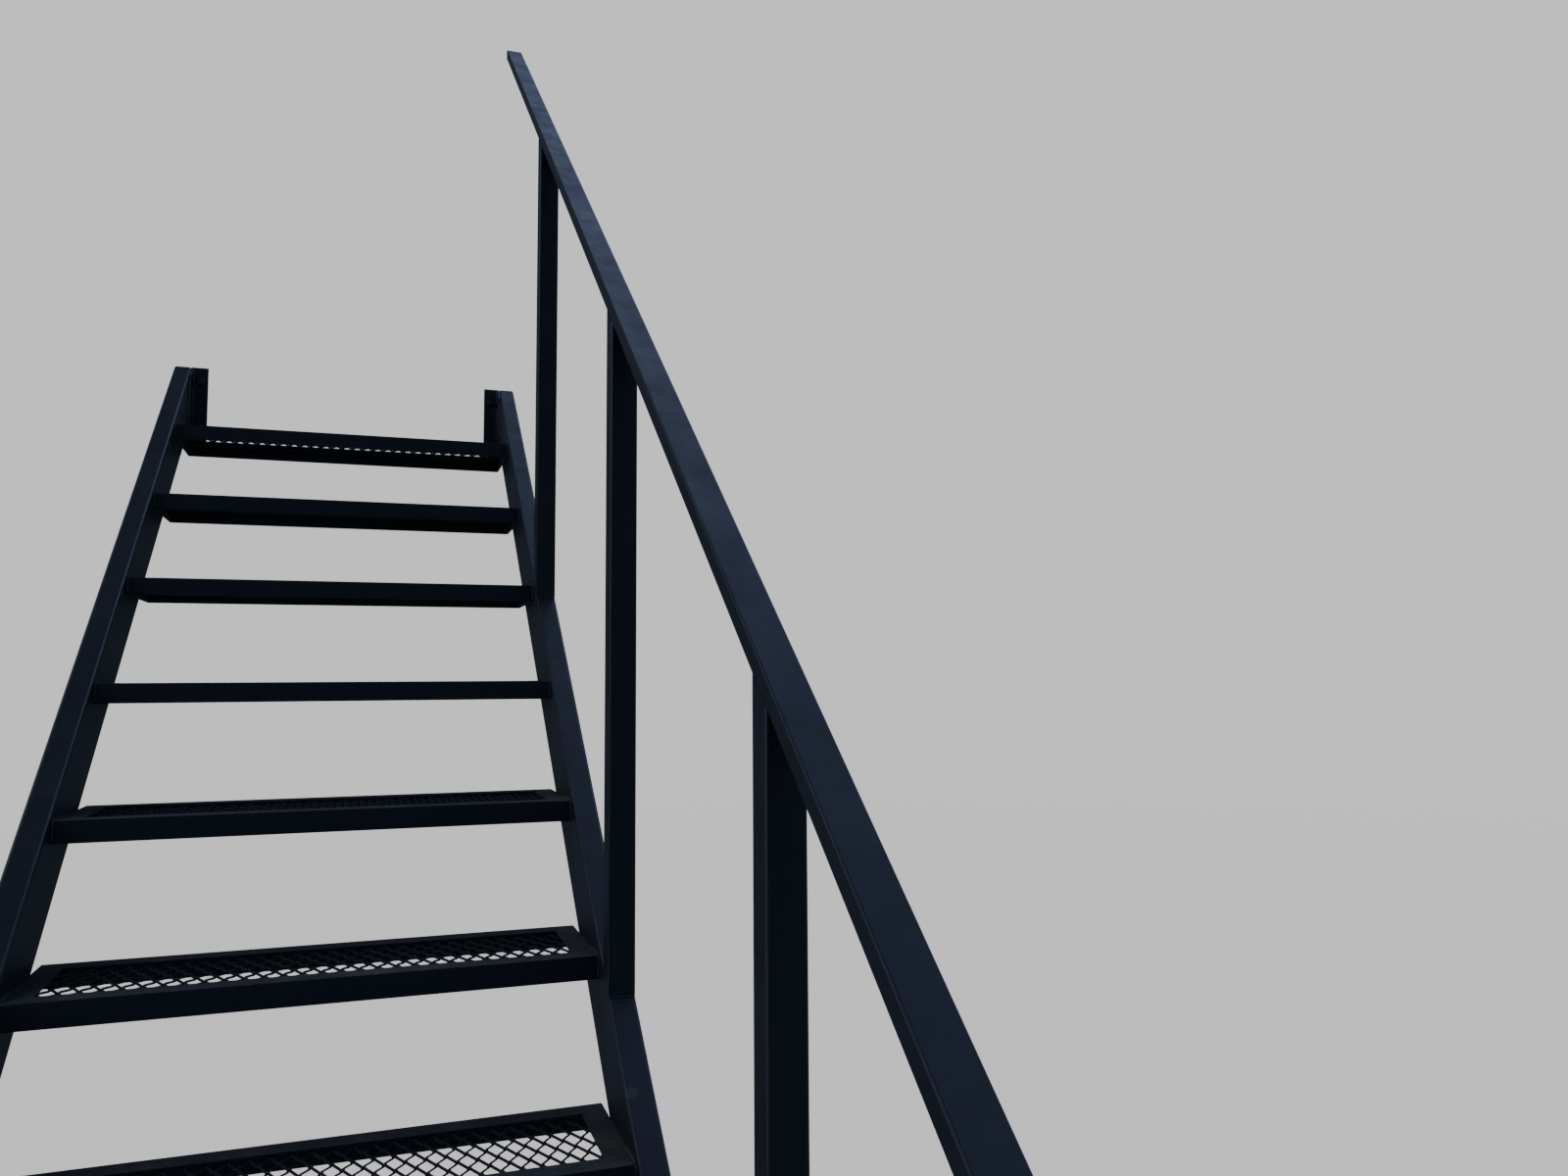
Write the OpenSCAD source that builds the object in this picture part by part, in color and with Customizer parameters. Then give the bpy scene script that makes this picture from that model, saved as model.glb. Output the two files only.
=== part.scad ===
// Straight steel stair that climbs to the top of a low wall.
// Two rectangular tube stringers carry open treads, each a mitred angle bar frame
// filled with expanded metal. The right side has square posts and a sloping handrail.
// X runs across the stair, Y towards the wall and Z up. The origin is on the ground,
// under the middle of the right base plate.

/* [Stair] */
// Height of one step
rise = 205; // [170:5:215]
// Depth of one step, nose to nose
going = 260; // [245:5:300]
// Number of treads below the landing
tread_count = 16; // [12:1:18]
// Clear width between the stringers
clear_w = 775; // [600:5:1000]
// Level gap between the top tread and the stringers' upper ends
wall_gap = 7; // [0:1:20]

/* [Stringers] */
// Depth of the stringer tube, square to the slope
stringer_d = 120; // [100:5:160]
// Width of the stringer tube
stringer_w = 40; // [40:1:60]
// Wall of the stringer tube
stringer_wall = 4; // [3:0.5:6]
// Outer corner radius of the stringer tube
stringer_r = 5; // [3:0.5:10]

/* [Treads] */
// Depth of a tread, front to back
tread_d = 235; // [200:5:240]
// Leg of the treads' angle bar
angle_leg = 35; // [30:1:40]
// Thickness of the treads' angle bar
angle_t = 4; // [3:0.5:5]
// Root radius between the legs of an angle bar
root_r = 5; // [3:0.5:6]
// Toe radius at the ends of an angle bar's legs
toe_r = 2; // [1:0.5:2.5]
// Plumb distance from a tread's nose up to the stringers' top edge
nose_drop = 8; // [0:1:20]

/* [Mesh] */
// Pitch of the diamonds across the stair
mesh_pitch_x = 25; // [24:1:40]
// Pitch of the diamonds along the going
mesh_pitch_y = 50; // [48:1:80]
// Width of a strand
strand_w = 4; // [2.5:0.5:6]
// Thickness of the mesh
mesh_t = 3; // [2:0.5:5]
// Gap between the sheet's edge and the upright legs of its frame
sheet_gap = 12; // [8:1:20]
// Width of the welded rim round the mesh
sheet_rim = 4; // [3:0.5:8]

/* [Handrail] */
// Side of the square post tube
post_w = 40; // [30:1:40]
// Wall of the post tube
post_wall = 2.5; // [2:0.5:4]
// Outer corner radius of the post tube
post_r = 3; // [2:0.5:8]
// Plumb height of the rail's top over the stringer's top edge
rail_h = 1018; // [850:1:1100]
// Width of the rail tube
rail_w = 40; // [36:1:60]
// Thickness of the rail tube, square to the slope
rail_t = 22; // [20:1:40]
// Wall of the rail tube
rail_wall = 2; // [1.5:0.5:4]
// Outer corner radius of the rail tube
rail_r = 2.5; // [1.5:0.5:8]
// Number of posts
post_count = 5; // [3:1:5]
// Level distance from the stringer's upper end to the lower face of the first post
first_post = 808; // [600:1:850]
// Level distance between the two upper posts
upper_bay = 802; // [600:1:820]
// Level distance between the other posts
lower_bay = 713; // [500:1:750]
// Level distance from the stringer's upper end to the rail's upper end
rail_setback = 100; // [0:5:300]
// Level run of the rail beyond the lowest post
rail_tail = 220; // [60:5:260]

/* [Wall cleats] */
// Leg of a cleat's angle bar
cleat_leg = 40; // [36:1:60]
// Thickness of a cleat's angle bar
cleat_t = 4; // [3:0.5:6]
// Gap between a cleat's lower end and the top tread
cleat_gap = 1; // [0:0.5:30]
// Diameter of a wall anchor's hole
wall_anchor_d = 11; // [7:1:13]
// Distance from a wall anchor's hole to the cleat's end
wall_anchor_end = 40; // [30:1:60]

/* [Plates] */
// Thickness of a base plate
base_t = 10; // [6:1:16]
// Length of a base plate beyond each end of the stringer's foot
base_margin_y = 33; // [30:1:60]
// Width of a base plate beyond each side of the stringer
base_margin_x = 45; // [40:1:70]
// Diameter of an anchor hole
anchor_d = 14; // [9:1:18]
// Distance from an anchor hole's centre to the plate's edges
anchor_edge = 20; // [16:1:22]
// Thickness of the caps that close the rail's ends
cap_t = 3; // [2:0.5:5]

/* [Hidden] */
tan_slope = rise / going;
slope = atan(tan_slope);
stringer_v = stringer_d / cos(slope);
rail_v = rail_t / cos(slope);
stringer_x = (clear_w + stringer_w) / 2;
mid_x = -stringer_x;
left_x = -2 * stringer_x;
right_x = 0;
foot_l = stringer_v / tan_slope;
base_l = foot_l + 2 * base_margin_y;
base_w = stringer_w + 2 * base_margin_x;
toe_y = -foot_l / 2;
first_nose_y = toe_y + (rise + nose_drop - base_t) / tan_slope;
end_y = first_nose_y + (tread_count - 1) * going + tread_d + wall_gap;
cleat_l = edge_z(end_y) - tread_count * rise - cleat_gap;
sheet_w = clear_w - 2 * (angle_t + sheet_gap);
sheet_d = tread_d - 2 * (angle_t + sheet_gap);
window_w = sheet_w - 2 * sheet_rim;
window_d = sheet_d - 2 * sheet_rim;
post_len = rail_h - rail_v;
rail_top_y = end_y - rail_setback;
rail_low_y = post_y(post_count) - rail_tail;
corner_fn = 32;
min_inner_r = 0.5;
cut = 1;
steel = "#1d232c";
mesh_steel = "#2a313b";

// Height of the stringers' top edge at a place along the run
function edge_z(y) = base_t + (y - toe_y) * tan_slope;
function nose_y(i) = first_nose_y + (i - 1) * going;
function post_y(i) = end_y - first_post - (i > 1 ? upper_bay + (i - 2) * lower_bay : 0);

// Rectangle with round corners, centred
module round_rect(w, h, r) {
  union() {
    square([w - 2 * r, h], center = true);
    square([w, h - 2 * r], center = true);
    for (sx = [-1, 1], sy = [-1, 1]) {
      translate([sx * (w / 2 - r), sy * (h / 2 - r)]) circle(r, $fn = corner_fn);
    }
  }
}

// Section of a rectangular tube, centred
module tube_section(w, h, r, wall) {
  difference() {
    round_rect(w, h, r);
    round_rect(w - 2 * wall, h - 2 * wall, max(r - wall, min_inner_r));
  }
}

// Tube on the slope, cut plumb at y0 and y1 and level at floor_z, with its top edge at top_z above y0
module sloping_tube(w, h, r, wall, y0, y1, top_z, floor_z) {
  length = (y1 - y0) / cos(slope) + 2 * h;
  reach = y1 - y0 + 2 * h;
  intersection() {
    translate([0, y0, top_z])
      rotate([slope, 0, 0])
        translate([0, -h, -h / 2])
          rotate([-90, 0, 0])
            linear_extrude(height = length) tube_section(w, h, r, wall);
    translate([-w, y0, floor_z])
      cube([2 * w, y1 - y0, top_z - floor_z + reach * tan_slope]);
  }
}

// One stringer, with its foot level on the base plate and its upper end plumb
module stringer(x) {
  color(steel)
    translate([x, 0, 0])
      sloping_tube(stringer_w, stringer_d, stringer_r, stringer_wall, toe_y, end_y, base_t, base_t);
}

// Base plate with an anchor hole at each corner
module base_plate(x) {
  hole_x = base_w / 2 - anchor_edge;
  hole_y = base_l / 2 - anchor_edge;
  color(steel)
    translate([x, 0, 0])
      difference() {
        translate([-base_w / 2, -base_l / 2, 0]) cube([base_w, base_l, base_t]);
        for (sx = [-1, 1], sy = [-1, 1]) {
          translate([sx * hole_x, sy * hole_y, -cut]) cylinder(h = base_t + 2 * cut, d = anchor_d, $fn = 48);
        }
      }
}

// Section of an angle bar with its outer corner at the origin, one leg along +X and one along -Y
module angle_section(leg, t) {
  union() {
    leg_section(leg, t);
    mirror([1, 1, 0]) leg_section(leg, t);
    difference() {
      translate([t, -t - root_r]) square(root_r);
      translate([t + root_r, -t - root_r]) circle(root_r, $fn = corner_fn);
    }
  }
}

// One leg along +X, under the X axis, with its inner toe rounded
module leg_section(leg, t) {
  translate([0, -t]) square([leg - toe_r, t]);
  translate([0, toe_r - t]) square([leg, t - toe_r]);
  translate([leg - toe_r, toe_r - t]) circle(toe_r, $fn = corner_fn);
}

// Angle bar on the wall beside a stringer, with its wall leg on the side of the stair's middle
// and its upper end cut to the slope
module wall_cleat(side) {
  inner_face = mid_x + side * clear_w / 2;
  color(steel)
    translate([inner_face, end_y, edge_z(end_y)])
      mirror([side > 0 ? 1 : 0, 0, 0])
        difference() {
          translate([0, 0, -cleat_l]) linear_extrude(height = cleat_l) angle_section(cleat_leg, cleat_t);
          for (z = [-wall_anchor_end, wall_anchor_end - cleat_l]) {
            translate([(cleat_leg + cleat_t) / 2, cut, z])
              rotate([90, 0, 0]) cylinder(h = cleat_t + 2 * cut, d = wall_anchor_d, $fn = 48);
          }
          rotate([slope, 0, 0])
            translate([-cut, -2 * cleat_leg, 0]) cube([cleat_leg + 2 * cut, 3 * cleat_leg, 2 * cleat_leg]);
        }
}

// Frame of four mitred angle bars, with their flat legs on top and their upright legs outside
module tread_frame(i) {
  color(steel)
    translate([mid_x, nose_y(i) + tread_d / 2, i * rise])
      union() {
        for (turn = [0, 180]) {
          rotate([0, 0, turn]) mitred_bar(clear_w, tread_d);
          rotate([0, 0, turn + 90]) mitred_bar(tread_d, clear_w);
        }
      }
}

// Angle bar along the near side of a frame of a width and a depth, cut at 45 degrees at both ends
module mitred_bar(width, depth) {
  reach = angle_leg + cut;
  intersection() {
    translate([-width / 2, -depth / 2, 0])
      rotate([90, 0, 90]) linear_extrude(height = width) angle_section(angle_leg, angle_t);
    translate([0, -depth / 2, -angle_leg - cut])
      linear_extrude(height = angle_leg + 2 * cut)
        polygon([[-width / 2, 0], [width / 2, 0], [width / 2 - reach, reach], [reach - width / 2, reach]]);
  }
}

// Diamond opening between four strands
module diamond() {
  half_x = mesh_pitch_x / 2;
  half_y = mesh_pitch_y / 2;
  strand_line = half_x * half_y / norm([half_x, half_y]);
  share = 1 - strand_w / 2 / strand_line;
  polygon(share * [[-half_x, 0], [0, -half_y], [half_x, 0], [0, half_y]]);
}

// Expanded metal sheet, welded under the flat legs of its frame
module tread_mesh(i) {
  nx = ceil(window_w / mesh_pitch_x / 2);
  ny = ceil(window_d / mesh_pitch_y / 2);
  color(mesh_steel)
    translate([mid_x, nose_y(i) + tread_d / 2, i * rise - angle_t - mesh_t])
      linear_extrude(height = mesh_t)
        difference() {
          square([sheet_w, sheet_d], center = true);
          intersection() {
            square([window_w, window_d], center = true);
            for (a = [-nx:nx], b = [-ny:ny], s = [0, 0.5]) {
              x = (a + s) * mesh_pitch_x;
              y = (b + s) * mesh_pitch_y;
              if (abs(x) < window_w / 2 && abs(y) < window_d / 2) {
                translate([x, y]) diamond();
              }
            }
          }
        }
}

// Square post, cut to the slope at its foot and under the rail
module post(i) {
  color(steel)
    translate([0, post_y(i), edge_z(post_y(i))])
      difference() {
        translate([0, post_w / 2, -post_w])
          linear_extrude(height = post_len + 3 * post_w) tube_section(post_w, post_w, post_r, post_wall);
        slope_cut(-4 * post_w);
        translate([0, 0, post_len]) slope_cut(0);
      }
}

// Block on the slope, from a depth z up to four post widths above it
module slope_cut(z) {
  rotate([slope, 0, 0])
    translate([-post_w, -4 * post_w, z]) cube([2 * post_w, 8 * post_w, 4 * post_w]);
}

// Sloping rail on the posts
module handrail() {
  color(steel)
    sloping_tube(rail_w, rail_t, rail_r, rail_wall, rail_low_y, rail_top_y,
      edge_z(rail_low_y) + rail_h, edge_z(rail_low_y) + rail_h - 2 * rail_v);
}

// Cap on the plumb end of the rail at y, on the side that it faces
module rail_cap(y, side) {
  color(steel)
    translate([-rail_w / 2, side > 0 ? y : y - cap_t, edge_z(y) + rail_h - rail_v])
      cube([rail_w, cap_t, rail_v]);
}

base_plate(left_x);  // left_base_plate
base_plate(right_x);  // right_base_plate
stringer(left_x);  // left_stringer
stringer(right_x);  // right_stringer
wall_cleat(-1);  // left_wall_cleat
wall_cleat(1);  // right_wall_cleat
for (i = [1:tread_count]) {
  tread_frame(i);
  tread_mesh(i);
}
for (i = [1:post_count]) {
  post(i);
}
handrail();
rail_cap(rail_top_y, 1);  // rail_upper_cap
rail_cap(rail_low_y, -1);  // rail_lower_cap
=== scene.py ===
"""Straight steel stair: paint, expanded metal, weld beads, bolts, camera, floor and light."""
import math
import random

import bmesh
import bpy
from mathutils import Matrix, Vector


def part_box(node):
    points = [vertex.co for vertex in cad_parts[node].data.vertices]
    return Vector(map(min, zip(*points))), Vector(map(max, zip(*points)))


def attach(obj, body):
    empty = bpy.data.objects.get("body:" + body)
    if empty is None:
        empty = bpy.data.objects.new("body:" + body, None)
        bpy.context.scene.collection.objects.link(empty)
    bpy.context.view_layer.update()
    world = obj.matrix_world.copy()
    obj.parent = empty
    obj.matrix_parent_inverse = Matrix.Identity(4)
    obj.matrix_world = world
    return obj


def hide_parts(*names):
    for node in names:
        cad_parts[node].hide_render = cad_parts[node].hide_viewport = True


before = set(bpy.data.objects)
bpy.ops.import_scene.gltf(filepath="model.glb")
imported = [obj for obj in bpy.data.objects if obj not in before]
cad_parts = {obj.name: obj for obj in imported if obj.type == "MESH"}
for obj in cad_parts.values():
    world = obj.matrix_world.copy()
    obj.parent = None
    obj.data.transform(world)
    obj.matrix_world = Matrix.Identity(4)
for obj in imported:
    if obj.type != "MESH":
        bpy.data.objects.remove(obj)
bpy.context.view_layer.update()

# Lengths are in metres, and millimetres are written times MM
MM = 0.001

# Names and places from the frame
treads = sorted(
    (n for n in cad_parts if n.startswith("tread_frame_")),
    key=lambda n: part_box(n)[1].z,
)
meshes = [n.replace("frame", "mesh") for n in treads]
posts = sorted(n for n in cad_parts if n.startswith("post_"))
stringers = ("left_stringer", "right_stringer")
cleats = ("left_wall_cleat", "right_wall_cleat")
base_plates = ("left_base_plate", "right_base_plate")
left_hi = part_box("left_stringer")[1]
right_lo, right_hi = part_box("right_stringer")
first_lo, first_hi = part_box(treads[0])
second_lo, second_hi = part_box(treads[1])
top_tread_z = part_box(treads[-1])[1].z
slope = math.atan2(second_hi.z - first_hi.z, second_lo.y - first_lo.y)
middle_x = (left_hi.x + right_lo.x) / 2
end_y, end_z = right_hi.y, right_hi.z

# Seeds of the random draws
SEED = {
    "expanded_metal": 11,
    "post_welds": 4,
    "foot_welds": 31,
    "tread_welds": 9,
    "cleat_welds": 15,
    "mitre_welds": 27,
    "cleat_bolts": 21,
    "base_bolts": 22,
}

# Camera at the photo's viewing angle: image in pixels, sensor in millimetres, angles in degrees
IMAGE_W = 1600
FOCAL_PX = 1204
SENSOR_W = 36.0
CAMERA_FROM_MIDDLE = 0.048
CAMERA_FROM_END = 3.330
CAMERA_UNDER_TOP_TREAD = 0.619
CAMERA_YAW = 19.57
CAMERA_PITCH = 4.52
CAMERA_ROLL = -0.36
CLIP_NEAR = 0.02
CLIP_FAR = 400


def add_camera():
    """Camera that looks up the stair from over its lower flight."""
    data = bpy.data.cameras.new("camera")
    data.sensor_width = SENSOR_W
    data.lens = SENSOR_W * FOCAL_PX / IMAGE_W
    data.clip_start = CLIP_NEAR
    data.clip_end = CLIP_FAR
    camera = bpy.data.objects.new("camera", data)
    bpy.context.scene.collection.objects.link(camera)
    camera.location = (
        middle_x + CAMERA_FROM_MIDDLE,
        end_y - CAMERA_FROM_END,
        top_tread_z - CAMERA_UNDER_TOP_TREAD,
    )
    turn = Matrix.Rotation(math.radians(-CAMERA_YAW), 4, "Z")
    tilt = Matrix.Rotation(math.radians(90 + CAMERA_PITCH), 4, "X")
    roll = Matrix.Rotation(math.radians(CAMERA_ROLL), 4, "Z")
    camera.rotation_euler = (turn @ tilt @ roll).to_euler()
    bpy.context.scene.camera = camera


# Sockets of a Mix node that mixes colours
MIX_FACTOR, MIX_A, MIX_B = 0, 6, 7
MIX_RESULT = 2


class Nodes:
    """Short way to add nodes and links to a node tree."""

    def __init__(self, tree):
        self.tree = tree

    def feed(self, socket, value):
        """Links an output to a socket, or sets the socket to a constant."""
        if isinstance(value, bpy.types.NodeSocket):
            self.tree.links.new(value, socket)
        else:
            socket.default_value = value

    def add(self, kind, inputs=None, **settings):
        """Node of a kind, with its settings and inputs."""
        node = self.tree.nodes.new(kind)
        for name, value in settings.items():
            setattr(node, name, value)
        for name, value in (inputs or {}).items():
            self.feed(node.inputs[name], value)
        return node

    def noise(self, where, scale, detail, rough):
        """Noise from 0 to 1, finer with a higher scale."""
        inputs = {"Vector": where, "Scale": scale, "Detail": detail, "Roughness": rough}
        return self.add("ShaderNodeTexNoise", inputs).outputs["Fac"]

    def ramp(self, value, start, full, to_start=0.0, to_full=1.0):
        """Value stretched from one range to another and held at the ends."""
        inputs = {
            "Value": value,
            "From Min": start,
            "From Max": full,
            "To Min": to_start,
            "To Max": to_full,
        }
        return self.add("ShaderNodeMapRange", inputs).outputs["Result"]

    def pattern(self, where, noise, limits, to_start=0.0, to_full=1.0):
        """Noise whose values between two limits are stretched to another range."""
        return self.ramp(self.noise(where, *noise), *limits, to_start, to_full)

    def math(self, operation, a, b=0.0):
        """Result of an operation on one or two values."""
        return self.add("ShaderNodeMath", {0: a, 1: b}, operation=operation).outputs["Value"]

    def product(self, first, *others):
        """Product of values."""
        for other in others:
            first = self.math("MULTIPLY", first, other)
        return first

    def vector_math(self, operation, result, *vectors):
        """Named result of an operation on vectors."""
        node = self.add("ShaderNodeVectorMath", dict(enumerate(vectors)), operation=operation)
        return node.outputs[result]

    def mix(self, factor, a, b):
        """Colour between two colours."""
        node = self.add("ShaderNodeMix", data_type="RGBA")
        for socket, value in ((MIX_FACTOR, factor), (MIX_A, a), (MIX_B, b)):
            self.feed(node.inputs[socket], value)
        return node.outputs[MIX_RESULT]

    def bump(self, height, strength, distance):
        """Normal of a surface with small heights on it."""
        inputs = {"Height": height, "Strength": strength, "Distance": distance}
        return self.add("ShaderNodeBump", inputs).outputs["Normal"]


def new_material(name):
    """Empty material with its output and principled shader."""
    material = bpy.data.materials.new(name)
    material.use_nodes = True
    tree = material.node_tree
    tree.nodes.clear()
    nodes = Nodes(tree)
    output = nodes.add("ShaderNodeOutputMaterial")
    shader = nodes.add("ShaderNodeBsdfPrincipled")
    nodes.feed(output.inputs["Surface"], shader.outputs["BSDF"])
    return material, nodes, shader


# Paint colours
PAINT = (0.0042, 0.0056, 0.0092, 1)
PAINT_WORN = (0.0070, 0.0088, 0.0128, 1)
DUST = (0.115, 0.108, 0.098, 1)
PRIMER = (0.085, 0.080, 0.078, 1)
RUST = (0.095, 0.036, 0.014, 1)
WELD_PAINT = (0.011, 0.013, 0.016, 1)

# Noises: scale, detail and roughness
FINE_GRAIN = (240.0, 3.0, 0.6)
SPRAYED_SKIN = (620.0, 2.0, 0.5)
WAVES = (34.0, 2.0, 0.5)
WELD_GRAIN = (700.0, 2.0, 0.5)

# Patterns: scale, detail and roughness of a noise, and its values where the effect starts and is full
CLOUDS = ((5.0, 5.0, 0.6), (0.35, 0.75))
DRIFTS = ((11.0, 6.0, 0.65), (0.42, 0.72))
SCRATCHES = ((1.0, 2.0, 0.5), (0.735, 0.76))
SCRATCHED_AREAS = ((3.3, 2.0, 0.5), (0.52, 0.66))
CHIPS = ((46.0, 4.0, 0.7), (0.60, 0.68))
RUST_SPOTS = ((90.0, 3.0, 0.6), (0.4, 0.6))
SHEEN = ((17.0, 4.0, 0.6), (0.3, 0.75))
WELD_RUST_SPOTS = ((130.0, 4.0, 0.65), (0.56, 0.68))
WELD_SHEEN = ((60.0, 3.0, 0.5), (0.3, 0.7))

# Where an effect starts and is full: how far a face looks up, the grain in dust and in the smudge,
# and how well the normal agrees with that of a rounded edge
LOOKS_UP = (0.25, 0.95)
DUST_GRAIN = (0.45, 0.75)
SMUDGE_GRAIN = (0.3, 0.6)
NEAR_EDGE = (0.985, 0.90)

# Strengths of the effects on colour and roughness
CLOUD_SHARE = 0.55
DUST_SHARE = 0.22
DUST_BETWEEN_DRIFTS = 0.25
DUST_BETWEEN_GRAINS = 0.35
DUST_ROUGH = 1.6
SCRATCH_SHARE = 0.5
CHIP_SHARE = 0.75
CHIP_ROUGH = 0.35
SHEEN_BELOW, SHEEN_ABOVE = 0.05, 0.10
WELD_RUST_SHARE = 0.35
WELD_ROUGH = (0.34, 0.52)

# Bumps: heights as shares of the depth, then the strength and depth of each material's bumps
SKIN_HEIGHT = 0.05
WAVE_HEIGHT = 0.30
CHIP_DEPTH = 0.25
PAINT_BUMP = (0.55, 0.7 * MM)
WELD_BUMP = (0.3, 0.3 * MM)

# Shift of the patterns for each step of a paint's seed, turn and stretch of scratches, and edge wear
SEED_SHIFT = (3.1, 1.7, 2.3)
SCRATCH_TURN = (0.5, 0.3, 0.9)
SCRATCH_STRETCH = (9.0, 260.0, 160.0)
EDGE_R = 1.6 * MM
EDGE_SAMPLES = 4

# Pale smudge on the right stringer's upper face
SMUDGE_FROM_END = 1.73
SMUDGE_FROM_MIDDLE = -11 * MM
SMUDGE_R = 11 * MM
SMUDGE_CORE_R = 5 * MM
SMUDGE_SHARE = 0.16


def smudge_place():
    """Place of the smudge on the right stringer's sloping upper face."""
    x = (right_lo.x + right_hi.x) / 2 + SMUDGE_FROM_MIDDLE
    return (x, end_y - SMUDGE_FROM_END, end_z - SMUDGE_FROM_END * math.tan(slope))


def dust_share(nodes, place, normal, fine, amount):
    """Share of dust: a film with drifts, only on faces that look up."""
    facing = nodes.add("ShaderNodeSeparateXYZ", {"Vector": normal}).outputs["Z"]
    upward = nodes.ramp(facing, *LOOKS_UP)
    drift = nodes.pattern(place, *DRIFTS, DUST_BETWEEN_DRIFTS, 1.0)
    grain = nodes.ramp(fine, *DUST_GRAIN, DUST_BETWEEN_GRAINS, 1.0)
    return nodes.product(drift, upward, grain, DUST_SHARE * amount)


def smudge_share(nodes, position, fine, centre):
    """Share of a small pale smudge round a place."""
    away = nodes.vector_math("DISTANCE", "Value", position, centre)
    near = nodes.ramp(away, SMUDGE_R, SMUDGE_CORE_R, 0.0, SMUDGE_SHARE)
    return nodes.product(near, nodes.ramp(fine, *SMUDGE_GRAIN))


def scratch_share(nodes, place, seed, wear):
    """Share of fine scratches that run one way, in some areas only."""
    turn_x, turn_y, turn_z = SCRATCH_TURN
    inputs = {"Vector": place, "Rotation": (turn_x + seed, turn_y, turn_z), "Scale": SCRATCH_STRETCH}
    stretched = nodes.add("ShaderNodeMapping", inputs).outputs["Vector"]
    scratches = nodes.pattern(stretched, *SCRATCHES)
    areas = nodes.pattern(place, *SCRATCHED_AREAS)
    return nodes.product(scratches, areas, SCRATCH_SHARE * wear)


def chip_share(nodes, place, normal, wear):
    """Share of chipped paint along the edges."""
    rounded = nodes.add("ShaderNodeBevel", {"Radius": EDGE_R}, samples=EDGE_SAMPLES).outputs["Normal"]
    agreement = nodes.vector_math("DOT_PRODUCT", "Value", rounded, normal)
    return nodes.product(nodes.ramp(agreement, *NEAR_EDGE), nodes.pattern(place, *CHIPS), CHIP_SHARE * wear)


def painted_steel(name, seed, dust, wear, rough=0.42, shine=0.5, smudge=None):
    """Satin dark paint: sprayed skin, uneven sheen, dust on top faces, scratches and chipped edges."""
    material, nodes, shader = new_material(name)
    geometry = nodes.add("ShaderNodeNewGeometry")
    position, normal = geometry.outputs["Position"], geometry.outputs["Normal"]
    place = nodes.vector_math("ADD", "Vector", position, tuple(seed * step for step in SEED_SHIFT))
    fine = nodes.noise(place, *FINE_GRAIN)
    dusty = dust_share(nodes, place, normal, fine, dust)
    scratched = scratch_share(nodes, place, seed, wear)
    chipped = chip_share(nodes, place, normal, wear)

    colour = nodes.mix(nodes.pattern(place, *CLOUDS, 0.0, CLOUD_SHARE), PAINT, PAINT_WORN)
    colour = nodes.mix(dusty, colour, DUST)
    if smudge:
        colour = nodes.mix(smudge_share(nodes, position, fine, smudge), colour, DUST)
    colour = nodes.mix(scratched, colour, PRIMER)
    bared = nodes.mix(nodes.pattern(place, *RUST_SPOTS), PRIMER, RUST)
    nodes.feed(shader.inputs["Base Color"], nodes.mix(chipped, colour, bared))

    sheen = nodes.pattern(place, *SHEEN, rough - SHEEN_BELOW, rough + SHEEN_ABOVE)
    sheen = nodes.math("ADD", sheen, nodes.product(dusty, DUST_ROUGH))
    sheen = nodes.math("ADD", sheen, nodes.product(chipped, CHIP_ROUGH))
    nodes.feed(shader.inputs["Roughness"], sheen)
    shader.inputs["Specular IOR Level"].default_value = shine

    skin = nodes.product(nodes.noise(place, *SPRAYED_SKIN), SKIN_HEIGHT)
    waves = nodes.product(nodes.noise(place, *WAVES), WAVE_HEIGHT)
    height = nodes.math("ADD", skin, waves)
    height = nodes.math("SUBTRACT", height, nodes.product(chipped, CHIP_DEPTH))
    nodes.feed(shader.inputs["Normal"], nodes.bump(height, *PAINT_BUMP))
    return material


def weld_steel(name):
    """Painted weld bead, a little paler than the steel, with spots of rust."""
    material, nodes, shader = new_material(name)
    place = nodes.add("ShaderNodeNewGeometry").outputs["Position"]
    rusty = nodes.product(nodes.pattern(place, *WELD_RUST_SPOTS), WELD_RUST_SHARE)
    nodes.feed(shader.inputs["Base Color"], nodes.mix(rusty, WELD_PAINT, RUST))
    nodes.feed(shader.inputs["Roughness"], nodes.pattern(place, *WELD_SHEEN, *WELD_ROUGH))
    nodes.feed(shader.inputs["Normal"], nodes.bump(nodes.noise(place, *WELD_GRAIN), *WELD_BUMP))
    return material


# Solids of the frame: limits for joining vertices and flat faces, and the rounding of sharp edges
JOIN_WITHIN = 0.02 * MM
FLAT_WITHIN = math.radians(0.5)
SHARP_OVER = math.radians(40)
ROUND_STEPS = 2
PLAIN_ROUND = 0.7 * MM
TREAD_ROUND = 0.8 * MM
PLATE_ROUND = 1.2 * MM


def edge_round(name):
    """Rounding of a solid's sharp edges."""
    if name in treads:
        return TREAD_ROUND
    if name in base_plates:
        return PLATE_ROUND
    return PLAIN_ROUND


def dress_nodes(paint, paint_on_treads):
    """Paints each solid, joins its split vertices and flat faces, and rounds its sharp edges."""
    for name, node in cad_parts.items():
        node.data.materials.clear()
        node.data.materials.append(paint_on_treads if name in treads else paint)
        # Expanded metal takes the place of the flat sheets
        if name in meshes:
            continue
        join = node.modifiers.new("join", "WELD")
        join.merge_threshold = JOIN_WITHIN
        flat = node.modifiers.new("flat", "DECIMATE")
        flat.decimate_type = "DISSOLVE"
        flat.angle_limit = FLAT_WITHIN
        bevel = node.modifiers.new("edges", "BEVEL")
        bevel.width = edge_round(name)
        bevel.segments = ROUND_STEPS
        bevel.limit_method = "ANGLE"
        bevel.angle_limit = SHARP_OVER
        bevel.harden_normals = True


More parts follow.
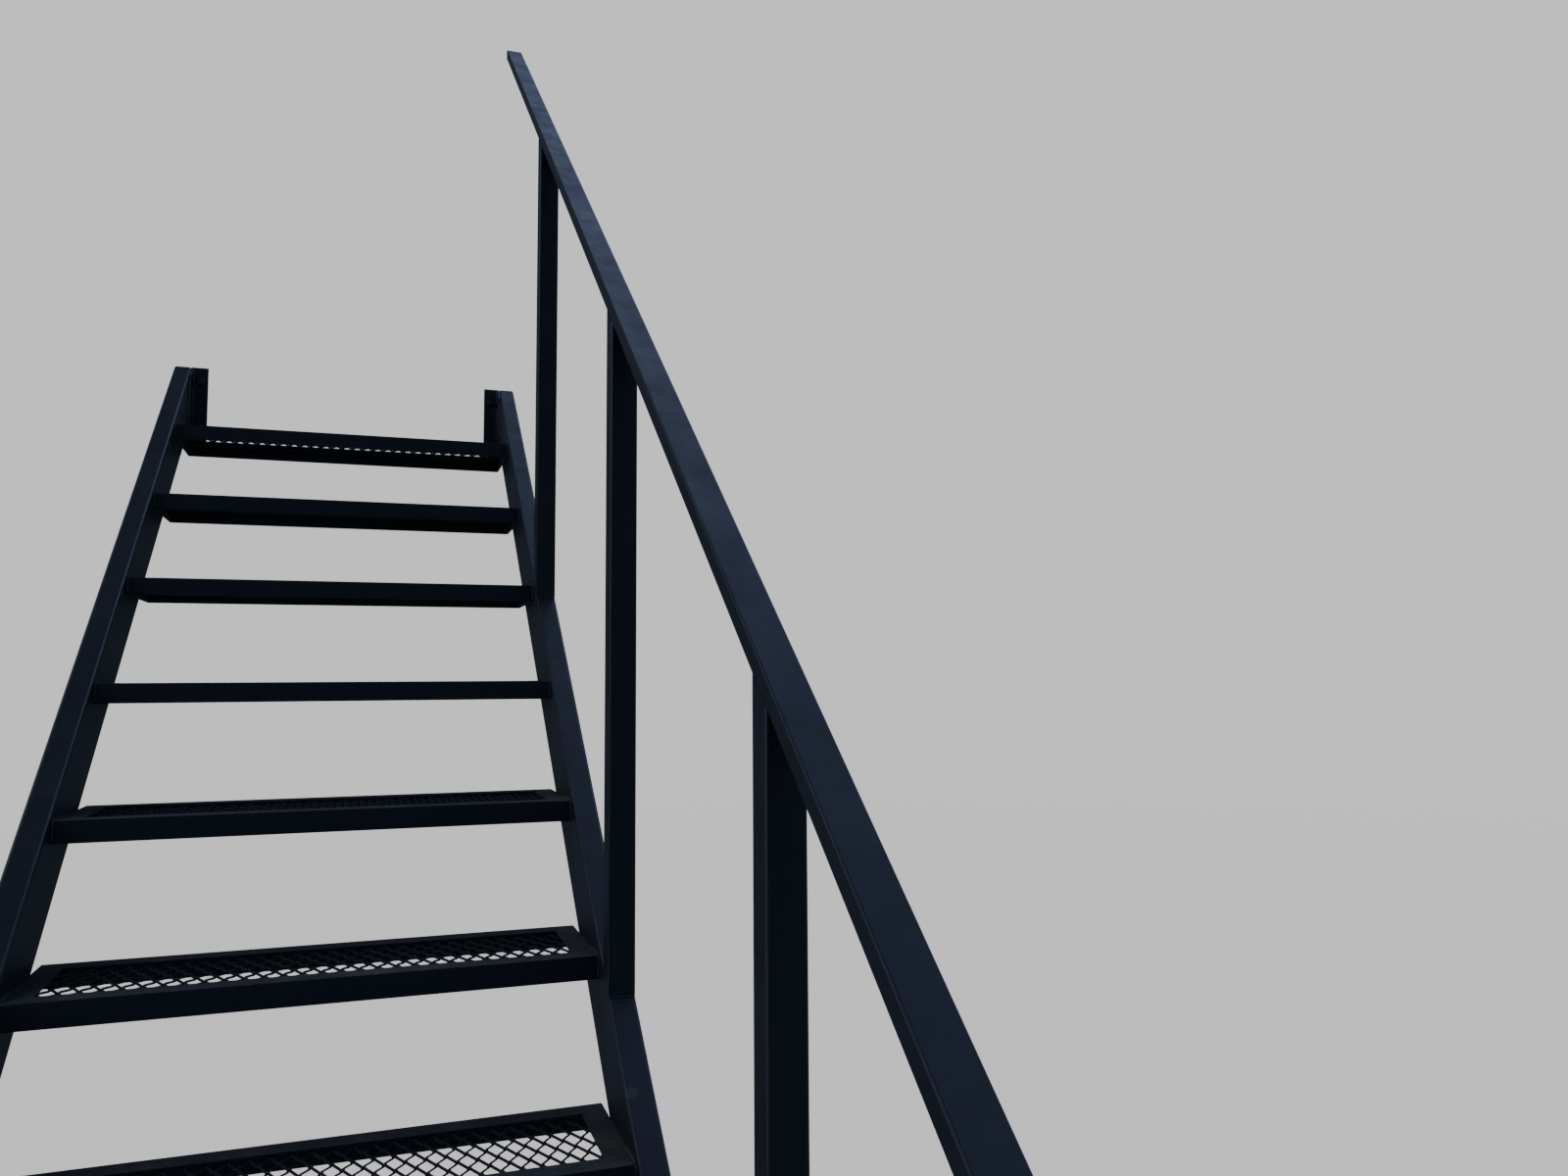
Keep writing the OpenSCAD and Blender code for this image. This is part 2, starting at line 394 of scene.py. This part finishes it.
# Meshes and pieces
def add_ring(mesh, centre, axis, sides, radius, turn=0.0):
    """Ring of vertices round an axis."""
    across = axis.orthogonal().normalized()
    other = axis.cross(across)
    ring = []
    for k in range(sides):
        angle = turn + 2 * math.pi * k / sides
        ring.append(mesh.verts.new(centre + radius * (math.cos(angle) * across + math.sin(angle) * other)))
    return ring


def join_rings(mesh, rings):
    """Faces between neighbouring rings, closed at both ends."""
    count = len(rings[0])
    for ring, following in zip(rings, rings[1:]):
        for k in range(count):
            after = (k + 1) % count
            mesh.faces.new((ring[k], ring[after], following[after], following[k]))
    mesh.faces.new(list(reversed(rings[0])))
    mesh.faces.new(rings[-1])


def mesh_data(name, mesh, smooth=False):
    """Turns a bmesh into mesh data, with its faces turned outwards."""
    bmesh.ops.recalc_face_normals(mesh, faces=mesh.faces)
    for face in mesh.faces:
        face.smooth = smooth
    data = bpy.data.meshes.new(name)
    mesh.to_mesh(data)
    mesh.free()
    return data


def add_piece(name, data, material, place=(0, 0, 0)):
    """Piece at a place, which rides with the stair."""
    data.materials.append(material)
    piece = bpy.data.objects.new(name, data)
    bpy.context.scene.collection.objects.link(piece)
    piece.matrix_world = Matrix.Translation(place)
    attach(piece, "root")
    return piece


def finish_piece(name, mesh, material, smooth=False):
    """Turns a bmesh of welds or bolts into one piece."""
    add_piece(name, mesh_data(name, mesh, smooth), material)


# Expanded metal: each strand is one ribbon that zigzags between its two neighbours
DIAMOND_X = 25.4 * MM
DIAMOND_Y = 49 * MM
STRAND_W = 3.3 * MM
STRAND_T = 2.7 * MM
STRAND_CHAMFER = 0.4 * MM
STRAND_TILT = math.radians(28)
BOND_L = 8 * MM
CUT_SHIFT = 9 * MM

# Shift of the diamonds, across and along, in the two sheets that the photo shows best
SEEN_CUT = {"tread_mesh_10": (2.95 * MM, 7.0 * MM), "tread_mesh_11": (-6.65 * MM, -3.0 * MM)}


def ribbon_section():
    """Corners of a strand's tilted section with chamfered edges, as (across, up) pairs."""
    half_w, half_t = STRAND_W / 2, STRAND_T / 2
    flat_w, flat_t = half_w - STRAND_CHAMFER, half_t - STRAND_CHAMFER
    outline = [
        (flat_w, -half_t), (half_w, -flat_t), (half_w, flat_t), (flat_w, half_t),
        (-flat_w, half_t), (-half_w, flat_t), (-half_w, -flat_t), (-flat_w, -half_t),
    ]
    cosine, sine = math.cos(STRAND_TILT), math.sin(STRAND_TILT)
    return [(x * cosine - z * sine, x * sine + z * cosine) for x, z in outline]


def swing_at(stations, y):
    """Swing of a strand at a place between two stations."""
    for (y0, swing0), (y1, swing1) in zip(stations, stations[1:]):
        if y0 <= y <= y1:
            return swing0 + (swing1 - swing0) * (y - y0) / (y1 - y0)
    raise ValueError("place beyond the stations")


def ribbon_stations(depth, phase):
    """Places along the sheet where a strand changes direction, each with its swing from -1 to 1."""
    stations = []
    count = math.ceil(depth / DIAMOND_Y) + 1
    for k in range(-2 * count, 2 * count + 1):
        middle = k * DIAMOND_Y / 2 + phase
        swing = 1 if k % 2 == 0 else -1
        for side in (-1, 1):
            stations.append((middle + side * BOND_L / 2, swing))
    half = depth / 2
    inside = [station for station in stations if -half < station[0] < half]
    return [(-half, swing_at(stations, -half))] + inside + [(half, swing_at(stations, half))]


def expanded_metal(width, depth, phase):
    """Sheet of expanded metal, centred, its strands along Y and its bonds shared by two strands."""
    mesh = bmesh.new()
    section = ribbon_section()
    lane = DIAMOND_X / 2
    reach_x = (lane - STRAND_W * math.cos(STRAND_TILT)) / 2
    reach_z = STRAND_W * math.sin(STRAND_TILT) / 2
    lanes = int((width / 2 - lane / 2) // lane)
    for k in range(-lanes, lanes + 1):
        hand = 1 if k % 2 == 0 else -1
        rings = []
        for y, swing in ribbon_stations(depth, phase):
            x = k * lane + hand * swing * reach_x
            z = -hand * swing * reach_z
            rings.append([mesh.verts.new((x + across, y, z + up)) for across, up in section])
        join_rings(mesh, rings)
    return mesh_data("expanded_metal", mesh)


def add_expanded_metal(material):
    """One sheet of expanded metal in each tread, cut anywhere, in the place of its flat solid."""
    rng = random.Random(SEED["expanded_metal"])
    for name in meshes:
        low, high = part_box(name)
        cut = (rng.uniform(-CUT_SHIFT, CUT_SHIFT), rng.uniform(-DIAMOND_Y / 4, DIAMOND_Y / 4))
        shift, phase = SEEN_CUT.get(name, cut)
        data = expanded_metal(high.x - low.x - 2 * CUT_SHIFT, high.y - low.y, phase)
        place = (low + high) / 2 + Vector((shift, 0, 0))
        piece_name = name.replace("tread_mesh", "expanded_metal")
        piece = add_piece(piece_name, data, material, place)
        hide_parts(name)


# Weld beads: their form, as lengths and as shares of the radius
BEAD_STEP = 1.3 * MM
BEAD_SIDES = 7
BEAD_TIP = 0.55
RIPPLE = 3.4 * MM
RIPPLE_LOW = 0.86
RIPPLE_RISE = 0.2
RIPPLE_SPREAD = 0.03

# Radius of each kind of bead, its inset, and how far from an edge or a corner it starts and ends
POST_BEAD_R = 2.3 * MM
POST_BEAD_SHORT = 1.0 * MM
FOOT_BEAD_R = 3.2 * MM
FOOT_BEAD_SHORT = 4 * MM
TREAD_BEAD_R = 2.8 * MM
TREAD_BEAD_INSET = 0.4 * MM
NOSE_BEAD_TOP = 1 * MM
NOSE_BEAD_FOOT = 2 * MM
TOP_BEAD_START = 4 * MM
TOP_BEAD_END = 60 * MM
CLEAT_BEAD_R = 2.0 * MM
CLEAT_BEAD_INSET = 0.5 * MM
CLEAT_BEAD_TOP = 44 * MM
CLEAT_BEAD_FOOT = 56 * MM


def add_bead(mesh, start, end, radius, rng):
    """Closed rippled bead from start to end, with thin tips."""
    length = (end - start).length
    along = (end - start).normalized()
    count = max(2, int(length / BEAD_STEP))
    rings = []
    for k in range(count + 1):
        share = k / count
        phase = ((length * share) % RIPPLE) / RIPPLE
        swell = RIPPLE_RISE * abs(math.sin(math.pi * phase))
        size = radius * (RIPPLE_LOW + swell + rng.uniform(-RIPPLE_SPREAD, RIPPLE_SPREAD))
        if k in (0, count):
            size *= BEAD_TIP
        rings.append(add_ring(mesh, start.lerp(end, share), along, BEAD_SIDES, size))
    join_rings(mesh, rings)


def add_post_welds(material):
    """Beads across the front and the back of each post, on the stringer and under the rail."""
    rng = random.Random(SEED["post_welds"])
    mesh = bmesh.new()
    for name in posts:
        low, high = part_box(name)
        climb = (high.y - low.y) * math.tan(slope)
        for front_z in (low.z, high.z - climb):
            for y, z in ((low.y, front_z), (high.y, front_z + climb)):
                start = Vector((low.x + POST_BEAD_SHORT, y, z))
                end = Vector((high.x - POST_BEAD_SHORT, y, z))
                add_bead(mesh, start, end, POST_BEAD_R, rng)
    finish_piece("post_welds", mesh, material, smooth=True)


def add_foot_welds(material):
    """Beads round each stringer's level foot, which reaches as far behind y = 0 as before it."""
    rng = random.Random(SEED["foot_welds"])
    mesh = bmesh.new()
    for name, plate in zip(stringers, base_plates):
        low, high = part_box(name)
        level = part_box(plate)[1].z
        toe, heel = low.y, -low.y
        for x in (low.x, high.x):
            start = Vector((x, toe + FOOT_BEAD_SHORT, level))
            end = Vector((x, heel - FOOT_BEAD_SHORT, level))
            add_bead(mesh, start, end, FOOT_BEAD_R, rng)
        for y in (toe, heel):
            start = Vector((low.x + FOOT_BEAD_SHORT, y, level))
            end = Vector((high.x - FOOT_BEAD_SHORT, y, level))
            add_bead(mesh, start, end, FOOT_BEAD_R, rng)
    finish_piece("foot_welds", mesh, material, smooth=True)


def add_tread_welds(material):
    """Beads between each tread's ends and the stringers, down the nose and back along the top."""
    rng = random.Random(SEED["tread_welds"])
    mesh = bmesh.new()
    for name in treads:
        low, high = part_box(name)
        for side_x in (low.x, high.x):
            x = side_x + math.copysign(TREAD_BEAD_INSET, middle_x - side_x)
            nose_top = Vector((x, low.y, high.z - NOSE_BEAD_TOP))
            nose_foot = Vector((x, low.y, low.z + NOSE_BEAD_FOOT))
            add_bead(mesh, nose_top, nose_foot, TREAD_BEAD_R, rng)
            top_start = Vector((x, low.y + TOP_BEAD_START, high.z))
            top_end = Vector((x, low.y + TOP_BEAD_END, high.z))
            add_bead(mesh, top_start, top_end, TREAD_BEAD_R, rng)
    finish_piece("tread_welds", mesh, material, smooth=True)


def x_in_cleat(name, inset):
    """X at a distance into a cleat from its stringer's inner face."""
    low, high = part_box(name)
    return low.x + inset if name.startswith("left") else high.x - inset


def add_cleat_welds(material):
    """Bead down the front edge of each cleat, against its stringer."""
    rng = random.Random(SEED["cleat_welds"])
    mesh = bmesh.new()
    for name in cleats:
        low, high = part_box(name)
        x = x_in_cleat(name, CLEAT_BEAD_INSET)
        top = Vector((x, low.y, high.z - CLEAT_BEAD_TOP))
        foot = Vector((x, low.y, low.z + CLEAT_BEAD_FOOT))
        add_bead(mesh, top, foot, CLEAT_BEAD_R, rng)
    finish_piece("cleat_welds", mesh, material, smooth=True)


# Welds over the mitres of the treads' angle bars, ground until they are nearly flush
ANGLE_LEG = 35 * MM
MITRE_START = 2.5 * MM
MITRE_STEP = 2.4 * MM
MITRE_HALF_W = 2.6 * MM
MITRE_PROUD = 0.35 * MM
MITRE_SUNK = 0.3 * MM
MITRE_TIP = 0.4
MITRE_W_SPREAD = (0.82, 1.12)
MITRE_PROUD_SPREAD = (0.7, 1.2)
SHOULDER_OUT, SHOULDER_UP = 0.8, 0.45


def add_flat_bead(mesh, start, end, rng):
    """Low strip with a rounded back along a line on a level face."""
    along = (end - start).normalized()
    across = Vector((-along.y, along.x, 0))
    up = Vector((0, 0, 1))
    count = max(2, int((end - start).length / MITRE_STEP))
    rows = []
    for k in range(count + 1):
        centre = start.lerp(end, k / count)
        scale = MITRE_TIP if k in (0, count) else 1.0
        half_w = MITRE_HALF_W * scale * rng.uniform(*MITRE_W_SPREAD)
        crown = MITRE_PROUD * scale * rng.uniform(*MITRE_PROUD_SPREAD)
        shoulder = SHOULDER_UP * crown
        profile = (
            (-1.0, -MITRE_SUNK),
            (-SHOULDER_OUT, shoulder),
            (0.0, crown),
            (SHOULDER_OUT, shoulder),
            (1.0, -MITRE_SUNK),
        )
        rows.append([mesh.verts.new(centre + half_w * side * across + z * up) for side, z in profile])
    join_rings(mesh, rows)


def add_mitre_welds(material):
    """Ground weld over each mitre of each tread frame, on the tops of the legs."""
    rng = random.Random(SEED["mitre_welds"])
    mesh = bmesh.new()
    for name in treads:
        low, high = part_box(name)
        for x, inward_x in ((low.x, 1), (high.x, -1)):
            for y, inward_y in ((low.y, 1), (high.y, -1)):
                start = Vector((x + inward_x * MITRE_START, y + inward_y * MITRE_START, high.z))
                end = Vector((x + inward_x * ANGLE_LEG, y + inward_y * ANGLE_LEG, high.z))
                add_flat_bead(mesh, start, end, rng)
    finish_piece("mitre_welds", mesh, material)


# Bolts: places of the holes, diameters, and proportions to the diameter
CLEAT_T = 4 * MM
CLEAT_HOLE_X = 22 * MM
CLEAT_HOLE_END = 40 * MM
CLEAT_BOLT = 10 * MM
BASE_HOLE_EDGE = 20 * MM
BASE_BOLT = 12 * MM
STUD_END = 7 * MM
WASHER_R, WASHER_T = 1.0, 0.18
HEAD_R, HEAD_H = 0.95, 0.66
WASHER_EDGE, HEAD_INSET, HEAD_EDGE, STUD_EDGE = 0.05, 0.05, 0.125, 0.1
WASHER_SIDES, HEAD_SIDES, STUD_SIDES = 32, 6, 20
HEAD_TURN = 2 * math.pi / HEAD_SIDES


def add_turned(mesh, seat, out, profile, sides, turn=0.0):
    """Solid round an axis that stands on a seat, from (height, radius) pairs."""
    join_rings(mesh, [add_ring(mesh, seat + h * out, out, sides, radius, turn) for h, radius in profile])


def add_bolt(mesh, seat, out, size, turn, stud=0.0):
    """Washer and hexagon head on a seat, and a stud's end where one stands out of a nut."""
    washer_r, washer_t, washer_edge = WASHER_R * size, WASHER_T * size, WASHER_EDGE * size
    washer = [(0.0, washer_r), (washer_t - washer_edge, washer_r), (washer_t, washer_r - washer_edge)]
    add_turned(mesh, seat, out, washer, WASHER_SIDES)

    head_r = HEAD_R * size
    crown_r = head_r * math.cos(math.pi / HEAD_SIDES) - HEAD_INSET * size
    top = washer_t + HEAD_H * size
    head = [(washer_t, head_r), (top - HEAD_EDGE * size, head_r), (top, crown_r)]
    add_turned(mesh, seat, out, head, HEAD_SIDES, turn)

    if stud:
        stud_r, stud_edge = size / 2, STUD_EDGE * size
        tip = top + stud
        rod = [(top, stud_r), (tip - stud_edge, stud_r), (tip, stud_r - stud_edge)]
        add_turned(mesh, seat, out, rod, STUD_SIDES)


def add_cleat_bolts(material):
    """Two painted bolts through the leg of each cleat that lies across the stair."""
    rng = random.Random(SEED["cleat_bolts"])
    mesh = bmesh.new()
    for name in cleats:
        low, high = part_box(name)
        for z in (low.z + CLEAT_HOLE_END, end_z - CLEAT_HOLE_END):
            seat = Vector((x_in_cleat(name, CLEAT_HOLE_X), high.y - CLEAT_T, z))
            add_bolt(mesh, seat, Vector((0, -1, 0)), CLEAT_BOLT, rng.uniform(0, HEAD_TURN))
    finish_piece("cleat_bolts", mesh, material)


def add_base_bolts(material):
    """Four nuts on anchor studs at the corners of each base plate."""
    rng = random.Random(SEED["base_bolts"])
    mesh = bmesh.new()
    for name in base_plates:
        low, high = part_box(name)
        for x in (low.x + BASE_HOLE_EDGE, high.x - BASE_HOLE_EDGE):
            for y in (low.y + BASE_HOLE_EDGE, high.y - BASE_HOLE_EDGE):
                seat = Vector((x, y, high.z))
                add_bolt(mesh, seat, Vector((0, 0, 1)), BASE_BOLT, rng.uniform(0, HEAD_TURN), STUD_END)
    finish_piece("base_bolts", mesh, material)


# Floor: its tones, half its width and the distances over which it fades
HORIZON = (0.80, 0.805, 0.815, 1)
FLOOR = (0.76, 0.73, 0.69, 1)
FLOOR_SHADE = (0.71, 0.68, 0.64, 1)
FLOOR_TONES = ((0.8, 4.0, 0.6), (0.3, 0.7))
FLOOR_SHADE_SHARE = 0.2
FLOOR_ROUGH = 0.9
FLOOR_SHINE = 0.1
FLOOR_HALF = 90
FADE = (7, 34)


def floor_material():
    """Matt pale floor that fades to the horizon's colour with the distance from the stair."""
    material, nodes, shader = new_material("floor")
    place = nodes.add("ShaderNodeNewGeometry").outputs["Position"]
    tone = nodes.pattern(place, *FLOOR_TONES, 0.0, FLOOR_SHADE_SHARE)
    nodes.feed(shader.inputs["Base Color"], nodes.mix(tone, FLOOR, FLOOR_SHADE))
    shader.inputs["Roughness"].default_value = FLOOR_ROUGH
    shader.inputs["Specular IOR Level"].default_value = FLOOR_SHINE
    fade = nodes.ramp(nodes.vector_math("LENGTH", "Value", place), *FADE)
    glow = nodes.add("ShaderNodeEmission", {"Color": HORIZON, "Strength": 1.0}).outputs["Emission"]
    faded = nodes.add("ShaderNodeMixShader", {0: fade, 1: shader.outputs["BSDF"], 2: glow})
    output = next(n for n in nodes.tree.nodes if n.type == "OUTPUT_MATERIAL")
    nodes.feed(output.inputs["Surface"], faded.outputs["Shader"])
    return material


def add_floor():
    """Wide floor that the stair neither mirrors nor takes light from."""
    mesh = bpy.data.meshes.new("floor")
    corners = [(-FLOOR_HALF, -FLOOR_HALF, 0), (FLOOR_HALF, -FLOOR_HALF, 0)]
    corners += [(FLOOR_HALF, FLOOR_HALF, 0), (-FLOOR_HALF, FLOOR_HALF, 0)]
    mesh.from_pydata(corners, [], [(0, 1, 2, 3)])
    mesh.materials.append(floor_material())
    floor = bpy.data.objects.new("floor", mesh)
    bpy.context.scene.collection.objects.link(floor)
    floor.visible_glossy = False
    floor.visible_diffuse = False


# World: colours that light the stair and show in its paint
FAR_END = (0.036, 0.044, 0.060, 1)
NEAR_END = (0.082, 0.119, 0.181, 1)
LEFT_SIDE = (0.37, 0.45, 0.63, 1)
LEFT_CREST = (0.70, 0.84, 1.16, 1)
RIGHT_SIDE = (0.26, 0.35, 0.46, 1)
SKY = (0.245, 0.322, 0.62, 1)
FAR_SKY = (0.68, 0.86, 1.27, 1)
SHADED_SKY = (0.010, 0.021, 0.033, 1)

# Where each colour starts and is full, by one component of the direction
SIDES_BY_X = (0.45, 0.85)
RIGHT_BY_X = (-0.2, 0.2)
FAR_BY_Y = (-0.3, 0.3)
FAR_SKY_BY_Y = (0.30, 0.70)
SHADE_BY_X = (0.14, -0.12)
SKY_BY_Z = (0.42, 0.72)
CREST_BY_X = (-0.42, -0.62)
CREST_FOOT_BY_Z = (0.40, 0.52)
CREST_TOP_BY_Z = (0.80, 0.70)


def room_colour(nodes):
    """Colour by direction: soft sides, dim ends, a sky shaded on the left, and a light band at its foot."""
    where = nodes.add("ShaderNodeTexCoord").outputs["Generated"]
    x, y, z = nodes.add("ShaderNodeSeparateXYZ", {"Vector": where}).outputs
    sides = nodes.mix(nodes.ramp(x, *RIGHT_BY_X), LEFT_SIDE, RIGHT_SIDE)
    ends = nodes.mix(nodes.ramp(y, *FAR_BY_Y), NEAR_END, FAR_END)
    around = nodes.mix(nodes.ramp(nodes.math("ABSOLUTE", x), *SIDES_BY_X), ends, sides)
    open_sky = nodes.mix(nodes.ramp(y, *FAR_SKY_BY_Y), SKY, FAR_SKY)
    overhead = nodes.mix(nodes.ramp(x, *SHADE_BY_X), open_sky, SHADED_SKY)
    room = nodes.mix(nodes.ramp(z, *SKY_BY_Z), around, overhead)
    band = nodes.product(nodes.ramp(z, *CREST_FOOT_BY_Z), nodes.ramp(z, *CREST_TOP_BY_Z))
    return nodes.mix(nodes.product(nodes.ramp(x, *CREST_BY_X), band), room, LEFT_CREST)


def add_world():
    """Pale backdrop for the camera, and a room that lights the stair and shows in its paint."""
    world = bpy.data.worlds.new("studio")
    bpy.context.scene.world = world
    world.use_nodes = True
    tree = world.node_tree
    tree.nodes.clear()
    nodes = Nodes(tree)
    output = nodes.add("ShaderNodeOutputWorld")
    seen = nodes.add("ShaderNodeLightPath").outputs["Is Camera Ray"]
    inputs = {"Color": nodes.mix(seen, room_colour(nodes), HORIZON), "Strength": 1.0}
    background = nodes.add("ShaderNodeBackground", inputs)
    nodes.feed(output.inputs["Surface"], background.outputs["Background"])


# Key light: the direction it shines in, its strength, and its spread in degrees
KEY_DIRECTION = (0.45, -0.35, -1.0)
KEY_STRENGTH = 3.0
KEY_SPREAD = 25
KEY_COLOUR = (1.0, 0.95, 0.89)
KEY_HEIGHT = 12


def add_key_light():
    """Wide warm sun from high on the left, over the stair's upper end, with no highlight of its own."""
    data = bpy.data.lights.new("key", "SUN")
    data.energy = KEY_STRENGTH
    data.angle = math.radians(KEY_SPREAD)
    data.color = KEY_COLOUR
    light = bpy.data.objects.new("key", data)
    bpy.context.scene.collection.objects.link(light)
    light.location = (0, 0, KEY_HEIGHT)
    light.visible_glossy = False
    light.rotation_euler = Vector(KEY_DIRECTION).to_track_quat("-Z", "Y").to_euler()


add_camera()
tube_paint = painted_steel("tube_paint", seed=1.0, dust=0.4, wear=0.45, smudge=smudge_place())
tread_paint = painted_steel("tread_paint", seed=2.0, dust=1.4, wear=0.8, rough=0.48)
# The expanded metal's lower shine is painted shade: it keeps the strands as dark as if shaded under the
# treads' legs
mesh_paint = painted_steel("mesh_paint", seed=3.0, dust=0.25, wear=0.6, rough=0.60, shine=0.25)
bead_paint = weld_steel("weld_paint")
dress_nodes(tube_paint, tread_paint)
add_expanded_metal(mesh_paint)
add_post_welds(bead_paint)
add_foot_welds(bead_paint)
add_tread_welds(bead_paint)
add_cleat_welds(bead_paint)
add_mitre_welds(tread_paint)
add_cleat_bolts(tube_paint)
add_base_bolts(bead_paint)
add_floor()
add_world()
add_key_light()
